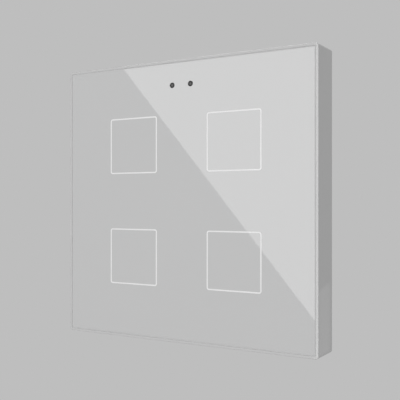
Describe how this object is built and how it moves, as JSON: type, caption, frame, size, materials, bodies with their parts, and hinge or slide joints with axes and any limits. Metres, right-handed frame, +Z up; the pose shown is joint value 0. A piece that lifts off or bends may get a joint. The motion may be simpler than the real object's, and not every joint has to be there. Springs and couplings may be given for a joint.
{
  "type": "touch light switch",
  "caption": "Square glass-fronted touch light switch: thin housing with outlined touch fields, held by magnets on a steel wall plate, with a plug-on bus terminal behind.",
  "frame": {"origin": "centre of the wall plate's rear face, in the plane of the wall", "axes": "+X to the right along the wall as one faces the switch, +Z up, +Y into the wall; the glass looks along -Y"},
  "size_m": [0.0816, 0.0246, 0.0816],
  "materials": {
    "plate_steel": "zinc-plated pressed steel, fine scratches",
    "housing_grey": "satin light grey, fine texture",
    "front_glass": "smooth glass, printed light grey behind",
    "white_enamel": "white fired line, flush with the glass",
    "lens_smoke": "smoked clear lens",
    "black_rubber": "soft moulded rubber",
    "seal_grey": "cured silicone bead",
    "tape_white": "acrylic foam tape",
    "board_green": "solder mask over glass-fibre board",
    "copper": "gold-plated copper",
    "chip_black": "moulded package",
    "metal_can": "drawn can",
    "cover_grey": "dark grey moulding, eroded texture",
    "magnet_nickel": "nickel-plated",
    "screw_steel": "zinc-plated",
    "light_white": "diffuse light package",
    "light_pipe_clear": "clear moulded rod",
    "button_red": "moulded plunger",
    "terminal_red": "moulded terminal half",
    "terminal_dark": "moulded terminal half"
  },
  "bodies": {
    "wall": {"wall_plate": "plate_steel"},
    "panel": {"housing": "housing_grey", "front_glass": "front_glass", "key_outline_top_left": "white_enamel", "key_outline_top_right": "white_enamel", "key_outline_bottom_left": "white_enamel", "key_outline_bottom_right": "white_enamel", "sensor_shroud": "black_rubber", "sensor_lens_left": "lens_smoke", "sensor_lens_right": "lens_smoke", "glass_tape": "tape_white", "glass_seal": "seal_grey", "touch_board": "board_green", "touch_pads": "copper", "key_lights": "light_white", "proximity_emitter": "light_white", "proximity_receiver": "chip_black", "touch_controller": "chip_black", "controller_crystal": "metal_can", "temperature_sensor": "chip_black", "board_socket": "chip_black", "rear_cover": "cover_grey", "magnets": "magnet_nickel", "board_screws": "screw_steel", "bus_board": "board_green", "board_header": "copper", "bus_pins": "copper", "pin_base": "chip_black", "bus_transceiver": "chip_black", "buffer_capacitor": "metal_can", "power_inductor": "chip_black", "piezo_sounder": "chip_black", "programming_switch": "chip_black", "programming_light": "light_white", "light_pipe": "light_pipe_clear"},
    "programming_key": {"programming_button": "button_red"},
    "bus_terminal": {"bus_terminal_plus": "terminal_red", "bus_terminal_minus": "terminal_dark", "terminal_contacts": "copper"}
  },
  "joints": [
    {"name": "panel_release", "type": "slide", "parent": "wall", "child": "panel", "axis": [0, -1, 0], "range_m": [0, 0.03]},
    {"name": "programming_key_press", "type": "slide", "parent": "panel", "child": "programming_key", "axis": [0, -1, 0], "range_m": [0, 0.00025], "stiffness_N_per_m": 4000},
    {"name": "bus_terminal_pull", "type": "slide", "parent": "panel", "child": "bus_terminal", "axis": [0, 1, 0], "range_m": [0, 0.012]}
  ]
}
